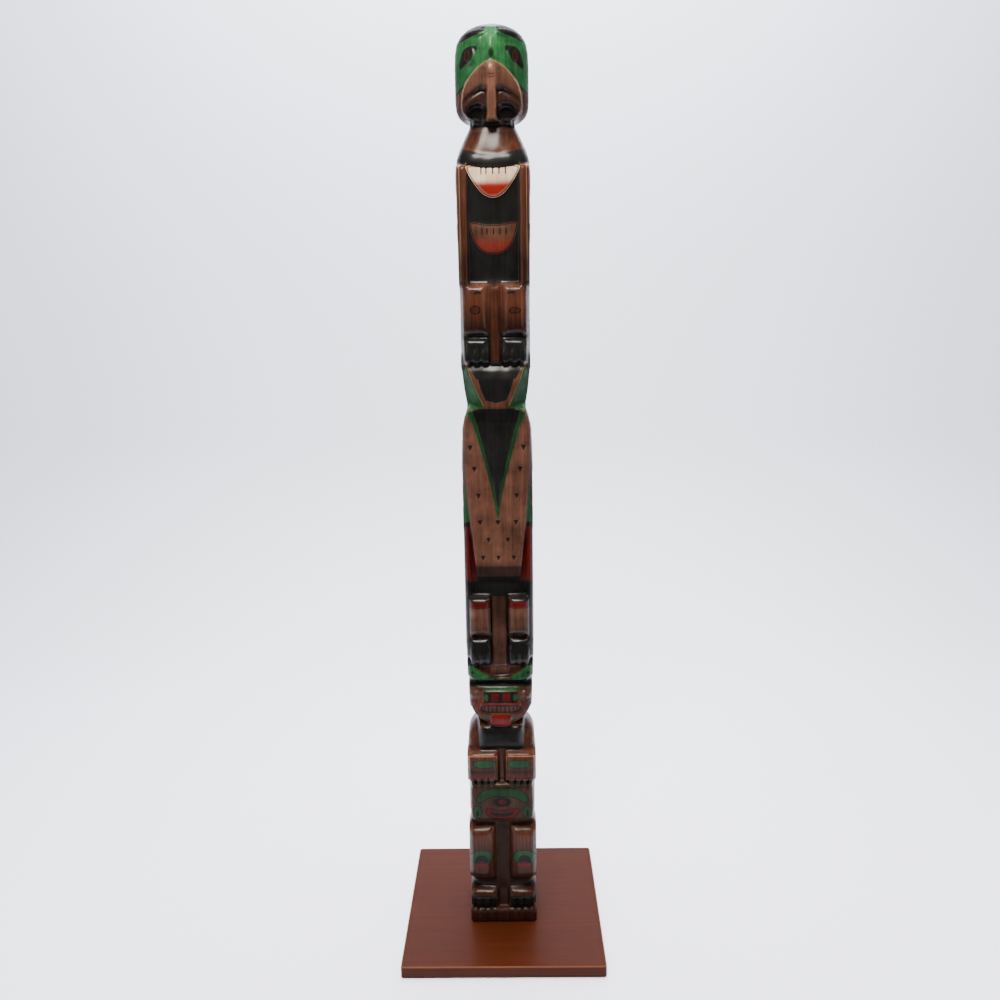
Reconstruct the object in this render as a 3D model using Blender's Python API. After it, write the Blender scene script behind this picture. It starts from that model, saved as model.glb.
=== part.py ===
"""A model totem pole, carved from one post and standing on a square base board.

From the top down it shows a hook-beaked eagle, a long-beaked raven and a seated bear.
The front faces -Y, +Z is up, and the origin is the centre of the board's underside.
"""

import math

import bmesh
import bpy
from mathutils import Matrix, Vector

# Driving dimensions, in metres
BOARD_SIDE = 0.410
BOARD_THICKNESS = 0.025
BOARD_CORNER_RADIUS = 0.006
BOARD_ARRIS = 0.0025
POLE_HEIGHT = 1.780
POLE_WIDTH = 0.142
POLE_DEPTH = 0.136
PLINTH_HEIGHT = 0.030
PLINTH_WIDTH = 0.140
PLINTH_DEPTH = 0.138
PLINTH_ARRIS = 0.0015
SEAT_GAP = 0.0003

# The carver's pattern is drawn in millimetres above the plinth: x to the right, y away from the
# viewer and z up. Its three full sizes below stand for the carving's width, depth and height.
PATTERN_WIDTH = 142
PATTERN_DEPTH = 136
PATTERN_HEIGHT = 1750
ROOT_IN_PLINTH = 5

RING_POINTS = 24
SHARP_ABOVE_DEGREES = 40
SIDES = (-1, 1)

SEAT_HEIGHT = BOARD_THICKNESS + SEAT_GAP
CARVING_HEIGHT = POLE_HEIGHT - PLINTH_HEIGHT
PATTERN_TO_POLE = Matrix.Translation((0, 0, SEAT_HEIGHT + PLINTH_HEIGHT)) @ Matrix.Diagonal(
    (POLE_WIDTH / PATTERN_WIDTH, POLE_DEPTH / PATTERN_DEPTH, CARVING_HEIGHT / PATTERN_HEIGHT, 1)
)


def clear_scene():
    for obj in list(bpy.data.objects):
        bpy.data.objects.remove(obj, do_unlink=True)


def new_collection(name):
    collection = bpy.data.collections.new(name)
    bpy.context.scene.collection.children.link(collection)
    return collection


def wood(name, colour, roughness):
    """Stained, varnished wood as a plain Principled material."""
    material = bpy.data.materials.new(name)
    material.use_nodes = True
    shader = material.node_tree.nodes["Principled BSDF"]
    shader.inputs["Base Color"].default_value = (*colour, 1)
    shader.inputs["Roughness"].default_value = roughness
    shader.inputs["Metallic"].default_value = 0
    return material


def object_from(bm, name, collection):
    mesh = bpy.data.meshes.new(name)
    bm.to_mesh(mesh)
    bm.free()
    mesh.shade_smooth()
    mesh.set_sharp_from_angle(angle=math.radians(SHARP_ABOVE_DEGREES))
    obj = bpy.data.objects.new(name, mesh)
    collection.objects.link(obj)
    return obj


def add_form(bm, name, collection):
    """Moves a form from the pattern's millimetres to the pole, and keeps it as a helper for the join."""
    bmesh.ops.recalc_face_normals(bm, faces=bm.faces)
    bm.transform(PATTERN_TO_POLE)
    form = object_from(bm, name, collection)
    form.hide_render = True
    form.display_type = "WIRE"
    return form


def skin(bm, rings):
    """Joins rings of equally many points with faces, and caps both ends."""
    loops = [[bm.verts.new(point) for point in ring] for ring in rings]
    count = len(loops[0])
    for lower, upper in zip(loops, loops[1:]):
        for i in range(count):
            j = (i + 1) % count
            bm.faces.new((lower[i], lower[j], upper[j], upper[i]))
    bm.faces.new(loops[0][::-1])
    bm.faces.new(loops[-1])


def oval_ring(z, half_width, front, back, squareness, keel=0.0):
    """A level superellipse, its front and back depths apart, with its middle drawn forward by keel."""
    power = 2 / squareness
    ring = []
    for i in range(RING_POINTS):
        angle = 2 * math.pi * i / RING_POINTS
        c, s = math.cos(angle), math.sin(angle)
        x = half_width * math.copysign(abs(c) ** power, c)
        y = math.copysign(abs(s) ** power, s) * (back if s > 0 else front)
        pinch = max(0.0, 1 - abs(x) / (0.5 * half_width)) if s < 0 else 0.0
        ring.append((x, y - keel * pinch, z))
    return ring


def body(name, collection, levels):
    """A form lofted through levels of (z, half width, front, back, squareness) and, on some, a keel."""
    bm = bmesh.new()
    skin(bm, [oval_ring(*level) for level in levels])
    return add_form(bm, name, collection)


def facet_form(name, collection, levels):
    """A form lofted through levels of (z, half section), mirrored, each half section a list of (x, y)."""
    rings = []
    for z, half in levels:
        left = [(-x, y, z) for x, y in half]
        rings.append(left + [(x, y, z) for x, y in reversed(half)])
    bm = bmesh.new()
    skin(bm, rings)
    return add_form(bm, name, collection)


def block(name, collection, x, y, z, edge, taper=(1.0, 1.0), segments=2):
    """A box between the pairs x, y and z with its edges rounded, its foot scaled by taper in x and y."""
    bm = bmesh.new()
    bmesh.ops.create_cube(bm, size=1)
    size = Vector((x[1] - x[0], y[1] - y[0], z[1] - z[0]))
    centre = Vector((sum(x) / 2, sum(y) / 2, sum(z) / 2))
    for vert in bm.verts:
        if vert.co.z < 0:
            vert.co.x *= taper[0]
            vert.co.y = 0.5 - (0.5 - vert.co.y) * taper[1]
        vert.co = centre + Vector(a * b for a, b in zip(vert.co, size))
    bmesh.ops.bevel(
        bm, geom=bm.edges[:], offset=edge, segments=segments, profile=0.5, affect="EDGES", clamp_overlap=True
    )
    return add_form(bm, name, collection)


def ball(name, collection, centre, radii, turn=(0, 0, 0), around=12, along=8):
    """An ellipsoid turned by angles in degrees about x, y and z."""
    bm = bmesh.new()
    turning = Matrix.Identity(4)
    for axis, angle in zip("XYZ", turn):
        turning = Matrix.Rotation(math.radians(angle), 4, axis) @ turning
    matrix = Matrix.Translation(centre) @ turning @ Matrix.Diagonal((*radii, 1))
    bmesh.ops.create_uvsphere(bm, u_segments=around, v_segments=along, radius=1, matrix=matrix)
    return add_form(bm, name, collection)


def cone(name, collection, base, tip, radius_base, radius_tip, sides=8, turn=0.0):
    """A cone or rod from base to tip, its sides turned by an angle in degrees about its own axis."""
    bm = bmesh.new()
    base, tip = Vector(base), Vector(tip)
    axis = tip - base
    place = Matrix.Translation((base + tip) / 2) @ axis.to_track_quat("Z", "Y").to_matrix().to_4x4()
    bmesh.ops.create_cone(
        bm,
        cap_ends=True,
        segments=sides,
        radius1=radius_base,
        radius2=radius_tip,
        depth=axis.length,
        matrix=place @ Matrix.Rotation(math.radians(turn), 4, "Z"),
    )
    return add_form(bm, name, collection)


def plate(name, collection, outline, depth, edge, facing="front", segments=1):
    """A flat outline given depth. Facing front it is (x, z) between two y, facing side (y, z) between two x."""
    bm = bmesh.new()
    low, high = depth
    if facing == "front":
        corners = [(a, low, b) for a, b in outline]
        travel = Vector((0, high - low, 0))
    else:
        corners = [(low, a, b) for a, b in outline]
        travel = Vector((high - low, 0, 0))
    face = bm.faces.new([bm.verts.new(corner) for corner in corners])
    grown = bmesh.ops.extrude_face_region(bm, geom=[face])
    moved = [part for part in grown["geom"] if isinstance(part, bmesh.types.BMVert)]
    bmesh.ops.translate(bm, vec=travel, verts=moved)
    bmesh.ops.recalc_face_normals(bm, faces=bm.faces)
    bmesh.ops.bevel(
        bm, geom=bm.edges[:], offset=edge, segments=segments, profile=0.5, affect="EDGES", clamp_overlap=True
    )
    return add_form(bm, name, collection)


def mirrored(pair, side):
    """A pair of x limits on the given side, lowest first."""
    return tuple(sorted((pair[0] * side, pair[1] * side)))


def both_ways(outline):
    """A right-hand outline of (x, z), top to bottom, closed with its mirror image."""
    return outline + [(-x, z) for x, z in reversed(outline)]


def carve_post(forms):
    """The post behind the figures: each level follows the outline that the carving leaves."""
    levels = [
        (-ROOT_IN_PLINTH, 63, 55, 62, 5),
        (40, 63, 50, 63, 5),
        (190, 68, 50, 65, 5),
        (292, 69, 52, 66, 5),
        (362, 69.5, 54, 66, 5),
        (380, 69, 52, 65, 4),
        (394, 65.5, 50, 62, 3),
        (404, 58, 47, 58, 2.6),
        (412, 52, 45, 55, 2.4),
        (422, 53, 45, 56, 2.6),
        (436, 60, 48, 60, 3),
        (455, 63.5, 50, 63, 4),
        (500, 65, 52, 64, 5),
        (572, 67, 50, 65, 5),
        (693, 67, 50, 65, 5),
        (722, 66, 53, 65, 5),
        (1028, 65, 54, 65, 5),
        (1045, 62, 50, 63, 4),
        (1056, 57.5, 48, 60, 3.5),
        (1070, 57, 48, 60, 3.5),
        (1100, 62, 50, 63, 4),
        (1140, 66, 53, 65, 5),
        (1240, 65, 57, 65, 5),
        (1486, 67, 61, 64, 5),
        (1504, 66.5, 60, 62, 4.5),
        (1518, 65, 57, 58, 3.8),
        (1535, 60, 52, 53, 3.2),
        (1553, 52, 46, 48, 2.8),
        (1570, 43.5, 41, 42, 2.6),
        (1579, 40.5, 39, 40, 2.5),
        (1592, 42, 39, 40, 2.5),
    ]
    return body("post", forms, levels)


def carve_foot(name, forms, side, toes_x, top, tip, front, half_width):
    """Three toes side by side, each swelling to its knuckle and running down to a claw."""
    height = top - tip
    for number, x in enumerate(toes_x, 1):
        levels = []
        for share, width, reach in (
            (1.0, 0.55, 0.72),
            (0.82, 0.95, 0.93),
            (0.6, 1.0, 1.0),
            (0.3, 0.8, 0.98),
            (0.0, 0.35, 0.86),
        ):
            z = tip + share * height
            w = half_width * width
            y = -front * reach
            middle = side * x
            levels.append(
                [
                    (middle - w, -40, z),
                    (middle - w, y + 4, z),
                    (middle - 0.45 * w, y, z),
                    (middle + 0.45 * w, y, z),
                    (middle + w, y + 4, z),
                    (middle + w, -40, z),
                ]
            )
        bm = bmesh.new()
        skin(bm, levels)
        add_form(bm, f"{name}_toe_{number}", forms)


def carve_eagle_head(forms, cuts):
    """A domed head with a keeled forehead, eyes on its cheeks and brows, and the hooked beak."""
    levels = [
        (1580, 38, 36, 38, 2.4),
        (1584, 50, 44, 47, 2.4),
        (1588, 57, 50, 53, 2.4),
        (1593, 62, 54, 57, 2.4),
        (1602, 66, 57, 60, 2.4),
        (1616, 67.5, 58, 62, 2.4),
        (1676, 67.5, 58, 63, 2.4, 3),
        (1699, 66.5, 56, 61, 2.4, 4),
        (1715, 63.5, 52, 57, 2.4, 4),
        (1727, 57, 46, 51, 2.3, 3),
        (1737, 46, 38, 42, 2.2, 1),
        (1744, 31, 26, 29, 2.1),
        (1749, 14, 12, 13, 2),
        (1750, 6, 5, 6, 2),
    ]
    body("eagle_head", forms, levels)
    beak = []
    for z, edge_x, edge_y, ridge_x, ridge_y in (
        (1677, 4, 54, 2, 57),
        (1672, 12, 55.5, 4, 61),
        (1666, 22, 56.5, 5, 64),
        (1655, 34, 57, 6, 66),
        (1640, 47, 55, 6, 67.5),
        (1624, 53, 53, 6, 68),
        (1604, 55, 52, 7, 68),
        (1592, 53, 50, 7, 68),
        (1583, 47, 48, 8, 67),
        (1576, 34, 45, 9, 65),
    ):
        cheek = (0.62 * edge_x, -(0.55 * ridge_y + 0.45 * edge_y))
        half = [(edge_x, -30), (edge_x, -edge_y), cheek, (ridge_x, 0.5 - ridge_y), (0.3 * ridge_x, -ridge_y)]
        beak.append((z, half))
    facet_form("eagle_beak", forms, beak)
    for side in SIDES:
        ball("eagle_eye", forms, (side * 40, -45, 1687), (11, 7, 14), turn=(0, 0, side * 40))
        ball("eagle_brow", forms, (side * 29, -35, 1728), (24, 11, 6), turn=(0, side * 14, side * 22))
        mouth = [(side * x, z) for x, z in ((9, 1628), (18, 1630), (38, 1619), (58, 1604), (58, 1562), (9, 1562))]
        plate("eagle_mouth", cuts, mouth, (-90, -57), 1.0)
        ball("eagle_gape", cuts, (side * 24, -60, 1592), (13, 15, 13), around=10, along=6)
        cone("eagle_nostril", cuts, (side * 13, -52, 1661), (side * 13, -78, 1661), 3.5, 3.5)


def carve_eagle_body(forms):
    """Wings folded against the sides with their edges standing proud of the chest, legs and feet."""
    wing = [
        (-56, 1508),
        (-40, 1518),
        (20, 1516),
        (48, 1496),
        (52, 1300),
        (44, 1212),
        (24, 1164),
        (-4, 1190),
        (-28, 1228),
        (-48, 1272),
        (-62, 1302),
        (-64, 1486),
    ]
    for side in SIDES:
        plate("eagle_wing", forms, wing, mirrored((52, 67), side), 3.0, facing="side")
        block("eagle_wing_edge", forms, mirrored((47, 65), side), (-65, -40), (1284, 1502), 3.5)
        block("eagle_leg", forms, mirrored((10, 60), side), (-69, -30), (1198, 1292), 8, taper=(0.94, 0.92))
        carve_foot("eagle", forms, side, (19, 35, 51), 1192, 1143, 69, 9.5)
    block("eagle_tail", forms, (-9, 9), (-61, -30), (1148, 1284), 2.0, segments=1)


def carve_raven_head(forms):
    """A wedge of a head that narrows down into a long keeled beak, lying on the breast to its tip."""
    head = []
    for z, brow_x, brow_y, cheek_x, cheek_y in (
        (1148, 50, 52, 66, 24),
        (1143, 55, 60, 67, 24),
        (1134, 54, 65, 67, 22),
        (1118, 47, 66, 66, 20),
        (1102, 41, 67, 65, 20),
        (1087, 34, 67, 62, 22),
        (1071, 27, 68, 58, 26),
        (1058, 21, 68, 56, 32),
        (1046, 16, 68, 53, 38),
        (1038, 12, 65, 48, 44),
    ):
        head.append((z, [(cheek_x, 30), (cheek_x, -cheek_y), (brow_x, -brow_y), (0.5 * brow_x, -brow_y - 1)]))
    facet_form("raven_head", forms, head)
    for side in SIDES:
        ball("raven_ear", forms, (side * 59, -27, 1150), (10.5, 22, 22))
    tip, root, spread = 852, 1062, 49
    lips, keel = [], []
    for step in (0.03, 0.12, 0.25, 0.4, 0.55, 0.7, 0.85, 1.0):
        z = tip + step * (root - tip)
        edge = spread * step**1.4 + 2
        lip = 62.5 + 3 * step
        lips.append((z, [(edge, -40), (edge, -lip + 2 * step), (edge * 0.8, -lip - 1), (edge * 0.35, -lip)]))
        width = 17 * step + 1
        keel.append((z, [(width, -44), (width, -63 - step), (0.25 * width, -66 - 2 * step)]))
    facet_form("raven_beak", forms, lips)
    facet_form("raven_beak_keel", forms, keel)


def carve_raven_body(forms, cuts):
    """A breast like a shield with chip-carved feathers, wings on the sides, legs, feet and tail."""
    breast = both_ways([(52, 1066), (60, 1054), (65, 1040), (64, 960), (58.5, 885), (53.5, 826), (46, 752), (45, 727)])
    plate("raven_breast", forms, breast, (-62, -30), 2.5)
    chamfer = [(-80, 752), (-62.5, 752), (-50, 716), (-80, 716)]
    plate("raven_breast_foot", cuts, chamfer, (-70, 70), 0.2, facing="side")
    wing = [
        (-52, 1010),
        (-40, 1026),
        (30, 1026),
        (48, 1004),
        (50, 700),
        (36, 590),
        (10, 548),
        (-20, 556),
        (-40, 600),
        (-52, 650),
    ]
    for side in SIDES:
        plate("raven_wing", forms, wing, mirrored((54, 67.5), side), 2.5, facing="side")
        ball("raven_wing_tip", forms, (side * 59, -28, 598), (12, 26, 46))
        block("raven_leg", forms, mirrored((18, 59), side), (-68, -30), (606, 686), 8, taper=(0.94, 0.92))
        carve_foot("raven", forms, side, (24, 38, 52), 587, 545, 68, 8.5)
    block("raven_tail", forms, (-15, 15), (-60, -30), (548, 690), 2.0, segments=1)
    chip_rows = ((988, (-51, 51)), (946, (-44, 44)), (894, (-37, 37)), (841, (-35, 0, 35)))
    for z, places in (*chip_rows, (806, (-19, 19)), (770, (-30, 0, 30))):
        for x in places:
            cone("feather_chip", cuts, (x, -66, z), (x, -57, z + 3), 8.5, 0.6, sides=3, turn=180)


def carve_bear_head(forms, cuts):
    """A broad head whose muzzle slopes forward to a square nose, over a mouth with the tongue out."""
    levels = [
        (530, 65, 50, 50, 3),
        (502, 64, 57, 50, 3),
        (499, 66, 62, 50, 3),
        (484, 66.5, 66, 50, 3),
        (466, 65, 66, 50, 3),
        (451, 60, 65, 48, 3),
        (441, 54, 64, 46, 3),
        (431, 46, 61, 42, 2.8),
        (422, 34, 57, 36, 2.6),
        (416, 22, 53, 30, 2.4),
    ]
    body("bear_head", forms, levels)
    block("bear_nose", forms, (-31, 31), (-68, -40), (466, 492), 4, taper=(1.0, 0.96))
    block("bear_tongue", forms, (-20, 20), (-66, -40), (415, 440), 4, taper=(0.94, 0.8))
    brow = [(0, 524), (20, 526), (38, 532), (52, 542), (60, 552), (66, 554), (66, 513)]
    plate("bear_brow", forms, brow + [(-x, z) for x, z in brow[:0:-1]], (-63, -30), 2.0)
    for side in SIDES:
        cone("bear_nostril", cuts, (side * 10, -62, 479), (side * 10, -76, 479), 5.5, 5.5)
        ball("bear_eye", forms, (side * 52, -46, 484), (10, 7, 7), turn=(0, 0, side * 38), around=10, along=6)


def carve_bear_body(forms, cuts):
    """A seated body: round breast, forearms held level with hanging claws, belly panel, legs and feet."""
    block("bear_breast", forms, (-46, 46), (-62, -20), (362, 414), 14, segments=3)
    belly = both_ways([(60, 288), (65, 283), (65, 214), (61, 206), (52, 202)])
    plate("bear_belly", forms, belly, (-66, -30), 2.5)
    for side in SIDES:
        block("bear_arm", forms, mirrored((6, 71), side), (-69, -20), (288, 357), 8)
        for x in (16, 29, 42, 55):
            block("bear_claw", forms, mirrored((x, x + 9), side), (-67, -50), (280, 294), 2.5, segments=1)
        block("bear_leg", forms, mirrored((15, 70), side), (-69, -20), (68, 186), 10, taper=(0.97, 0.95))
        block("bear_foot", forms, mirrored((11, 69), side), (-69, -20), (1, 44), 7)
        for x in (24, 39, 54):
            cone("bear_toe_cut", cuts, (side * x, -74, -2), (side * x, -66, 34), 3, 2.4, sides=6)


def make_pole(whole, forms, cuts, material):
    """The plinth with every carved form joined to it and every cut taken out: one solid."""
    bm = bmesh.new()
    bmesh.ops.create_cube(bm, size=1)
    bmesh.ops.scale(bm, vec=(PLINTH_WIDTH, PLINTH_DEPTH, PLINTH_HEIGHT), verts=bm.verts)
    bmesh.ops.translate(bm, vec=(0, 0, SEAT_HEIGHT + PLINTH_HEIGHT / 2), verts=bm.verts)
    bmesh.ops.bevel(bm, geom=bm.edges[:], offset=PLINTH_ARRIS, segments=1, profile=0.5, affect="EDGES")
    pole = object_from(bm, "pole", whole)
    pole.data.materials.append(material)
    for name, operation, collection in (("joined forms", "UNION", forms), ("cuts", "DIFFERENCE", cuts)):
        boolean = pole.modifiers.new(name, "BOOLEAN")
        boolean.operation = operation
        boolean.operand_type = "COLLECTION"
        boolean.collection = collection
        boolean.solver = "EXACT"
    return pole


def make_board(whole, material):
    """A solid square board with rounded corners and eased edges, resting on its flat underside."""
    bm = bmesh.new()
    bmesh.ops.create_cube(bm, size=1)
    bmesh.ops.scale(bm, vec=(BOARD_SIDE, BOARD_SIDE, BOARD_THICKNESS), verts=bm.verts)
    bmesh.ops.translate(bm, vec=(0, 0, BOARD_THICKNESS / 2), verts=bm.verts)
    upright = [edge for edge in bm.edges if abs(edge.verts[0].co.z - edge.verts[1].co.z) > BOARD_THICKNESS / 2]
    bmesh.ops.bevel(bm, geom=upright, offset=BOARD_CORNER_RADIUS, segments=4, profile=0.5, affect="EDGES")
    rims = [edge for edge in bm.edges if abs(edge.verts[0].co.z - edge.verts[1].co.z) < BOARD_ARRIS]
    bmesh.ops.bevel(bm, geom=rims, offset=BOARD_ARRIS, segments=2, profile=0.5, affect="EDGES")
    board = object_from(bm, "base_board", whole)
    board.data.materials.append(material)
    return board


def main():
    clear_scene()
    whole = new_collection("totem_pole")
    forms = new_collection("carved_forms")
    cuts = new_collection("carved_cuts")
    carve_post(forms)
    carve_eagle_head(forms, cuts)
    carve_eagle_body(forms)
    carve_raven_head(forms)
    carve_raven_body(forms, cuts)
    carve_bear_head(forms, cuts)
    carve_bear_body(forms, cuts)
    make_pole(whole, forms, cuts, wood("stained cedar", (0.10, 0.035, 0.02), 0.3))
    make_board(whole, wood("stained board", (0.16, 0.045, 0.025), 0.4))


main()
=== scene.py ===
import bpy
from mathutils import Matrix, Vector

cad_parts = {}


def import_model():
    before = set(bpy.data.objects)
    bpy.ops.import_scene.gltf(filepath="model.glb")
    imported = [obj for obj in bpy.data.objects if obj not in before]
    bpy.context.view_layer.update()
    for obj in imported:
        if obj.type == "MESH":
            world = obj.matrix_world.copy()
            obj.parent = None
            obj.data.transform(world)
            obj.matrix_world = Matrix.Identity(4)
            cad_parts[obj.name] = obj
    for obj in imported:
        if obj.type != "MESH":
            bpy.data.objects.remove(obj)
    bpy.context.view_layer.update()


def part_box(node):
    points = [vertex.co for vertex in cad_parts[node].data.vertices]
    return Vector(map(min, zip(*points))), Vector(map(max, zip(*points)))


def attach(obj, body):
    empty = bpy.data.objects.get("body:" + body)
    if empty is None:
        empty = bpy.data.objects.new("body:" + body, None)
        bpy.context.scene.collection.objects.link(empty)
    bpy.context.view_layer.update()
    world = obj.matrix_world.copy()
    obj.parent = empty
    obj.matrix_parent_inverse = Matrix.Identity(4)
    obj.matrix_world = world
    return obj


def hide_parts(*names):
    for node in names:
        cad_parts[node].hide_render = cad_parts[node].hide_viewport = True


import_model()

import math

import bpy
import numpy as np
from mathutils import Matrix, Vector

# The base board: one square of mahogany, planed flat, its corners softened and the edges
# eased with a block plane, then stained red-brown and rubbed to a satin gloss.
# It lies flat, and the pole stands on its middle.
board_low, board_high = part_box("base_board")
BOARD_HALF = board_high[0]
BOARD_THICK = board_high[2] - board_low[2]
BOARD_CORNER = 0.006
BOARD_EASE = 0.0025
BOARD_DARK, BOARD_LIGHT, BOARD_PORES, BOARD_WORN_HIGHLIGHT = "#2a1107", "#421b0a", "#260f08", "#8a5a3c"
CORNER_STEPS, EASE_STEPS = 9, 6
WORN_HIGHLIGHT_SHARE = 0.35


def linear(code):
    """Linear red, green, blue and alpha of an sRGB hex colour, as a shader socket takes them."""
    shares = [int(code[i:i + 2], 16) / 255 for i in (1, 3, 5)]
    return [s / 12.92 if s <= 0.04045 else ((s + 0.055) / 1.055) ** 2.4 for s in shares] + [1.0]


def add(tree, kind, sockets=None, **settings):
    """Adds a node with its settings; each socket is given a value, or a link where it gets an output."""
    made = tree.nodes.new(kind)
    for name, value in settings.items():
        setattr(made, name, value)
    for key, value in (sockets or {}).items():
        if isinstance(value, bpy.types.NodeSocket):
            tree.links.new(value, made.inputs[key])
        else:
            made.inputs[key].default_value = value
    return made


def material(name):
    """An empty material with its tree, a shader and an output joined up."""
    made = bpy.data.materials.new(name)
    made.use_nodes = True
    made.node_tree.nodes.clear()
    shader = add(made.node_tree, "ShaderNodeBsdfPrincipled")
    add(made.node_tree, "ShaderNodeOutputMaterial", {"Surface": shader.outputs["BSDF"]})
    return made, made.node_tree, shader


def ring_solid(name, rings):
    """Closed smooth mesh from a stack of rings, rows x columns x 3 in metres, lowest first.

    Each face joins two neighbouring columns of two neighbouring rows, and a fan of triangles
    to the middle of the first and of the last ring closes the ends.
    """
    rows, columns = rings.shape[:2]
    here = np.arange(rows * columns).reshape(rows, columns)
    beside = np.roll(here, -1, 1)
    walls = np.stack([here[:-1], beside[:-1], beside[1:], here[1:]], -1).reshape(-1, 4)
    low, high = rows * columns, rows * columns + 1
    floor = np.stack([beside[0], here[0], np.full(columns, low)], -1)
    roof = np.stack([here[-1], beside[-1], np.full(columns, high)], -1)
    points = np.concatenate([rings.reshape(-1, 3), rings[:1].mean(1), rings[-1:].mean(1)])
    mesh = bpy.data.meshes.new(name)
    mesh.from_pydata(points.tolist(), [], walls.tolist() + floor.tolist() + roof.tolist())
    mesh.shade_smooth()
    made = bpy.data.objects.new(name, mesh)
    bpy.context.scene.collection.objects.link(made)
    return made


turn = np.linspace(0, math.pi / 2, CORNER_STEPS)
corner_x = np.concatenate([np.cos(turn + k * math.pi / 2) for k in range(4)])
corner_y = np.concatenate([np.sin(turn + k * math.pi / 2) for k in range(4)])
sign_x = np.repeat([1, -1, -1, 1], CORNER_STEPS)
sign_y = np.repeat([1, 1, -1, -1], CORNER_STEPS)
arc = np.linspace(0, math.pi / 2, EASE_STEPS)
ease_in = BOARD_EASE * (1 - np.sin(arc))
ease_up = BOARD_EASE * (1 - np.cos(arc))
inset = np.concatenate([[BOARD_CORNER], ease_in, ease_in[::-1], [BOARD_CORNER]])
level = np.concatenate([[0], ease_up, BOARD_THICK - ease_up[::-1], [BOARD_THICK]])
reach = BOARD_CORNER - inset[:, None]
board_rings = np.stack([
    sign_x * (BOARD_HALF - BOARD_CORNER) + corner_x * reach,
    sign_y * (BOARD_HALF - BOARD_CORNER) + corner_y * reach,
    np.repeat(level[:, None], 4 * CORNER_STEPS, 1),
], -1)
board = ring_solid("base_board_finish", board_rings)
# The rows along the top edge are paler, partly wear and partly a painted highlight.
worn_highlight_rows = (level > BOARD_THICK - 0.7 * BOARD_EASE) & (inset < 0.7 * BOARD_EASE)
worn_highlight_points = np.concatenate([np.repeat(WORN_HIGHLIGHT_SHARE * worn_highlight_rows, 4 * CORNER_STEPS), [0, 0]]).astype(np.float32)
board.data.attributes.new("worn_highlight_edge", "FLOAT", "POINT").data.foreach_set("value", worn_highlight_points)

# Satin mahogany: the eye gets a dark red-brown with fine straight grain along X, a soft sheen and
# a thin paler line along the top edge, partly wear and partly a painted highlight. Grain streaks are
# 160 mm long and 7 mm wide, and the pores 60 mm long and 1.6 mm wide.
mahogany, tree, shader = material("satin_mahogany")
place = add(tree, "ShaderNodeTexCoord").outputs["Object"]
along = add(tree, "ShaderNodeMapping", {"Vector": place, "Scale": (1000 / 160, 1000 / 7, 1000 / 7)})
grain = add(tree, "ShaderNodeTexNoise", {"Vector": along.outputs[0], "Scale": 1, "Detail": 6, "Roughness": 0.6})
along = add(tree, "ShaderNodeMapping", {"Vector": place, "Scale": (1000 / 60, 1000 / 1.6, 1000 / 1.6)})
pores = add(tree, "ShaderNodeTexNoise", {"Vector": along.outputs[0], "Scale": 1, "Detail": 3})
dark_pores = add(tree, "ShaderNodeMapRange", {0: pores.outputs[0], 1: 0.56, 2: 0.72, 3: 0.0, 4: 0.35})
worn_highlight_edge = add(tree, "ShaderNodeAttribute", attribute_name="worn_highlight_edge").outputs["Fac"]
colour = linear(BOARD_DARK)
for share, over in (
    (grain.outputs[0], BOARD_LIGHT), (dark_pores.outputs[0], BOARD_PORES), (worn_highlight_edge, BOARD_WORN_HIGHLIGHT),
):
    mixed = add(tree, "ShaderNodeMix", {0: share, 6: colour, 7: linear(over)}, data_type="RGBA")
    colour = mixed.outputs[2]
tree.links.new(colour, shader.inputs["Base Color"])
shader.inputs["Roughness"].default_value = 0.5
shader.inputs["Specular IOR Level"].default_value = 0.06
shader.inputs["Coat Weight"].default_value = 0.06
shader.inputs["Coat Roughness"].default_value = 0.22
bump = add(tree, "ShaderNodeBump", {"Height": pores.outputs[0], "Strength": 0.25, "Distance": 0.0002})
tree.links.new(bump.outputs[0], shader.inputs["Normal"])
board.data.materials.append(mahogany)
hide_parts("base_board")
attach(board, "root")

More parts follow.
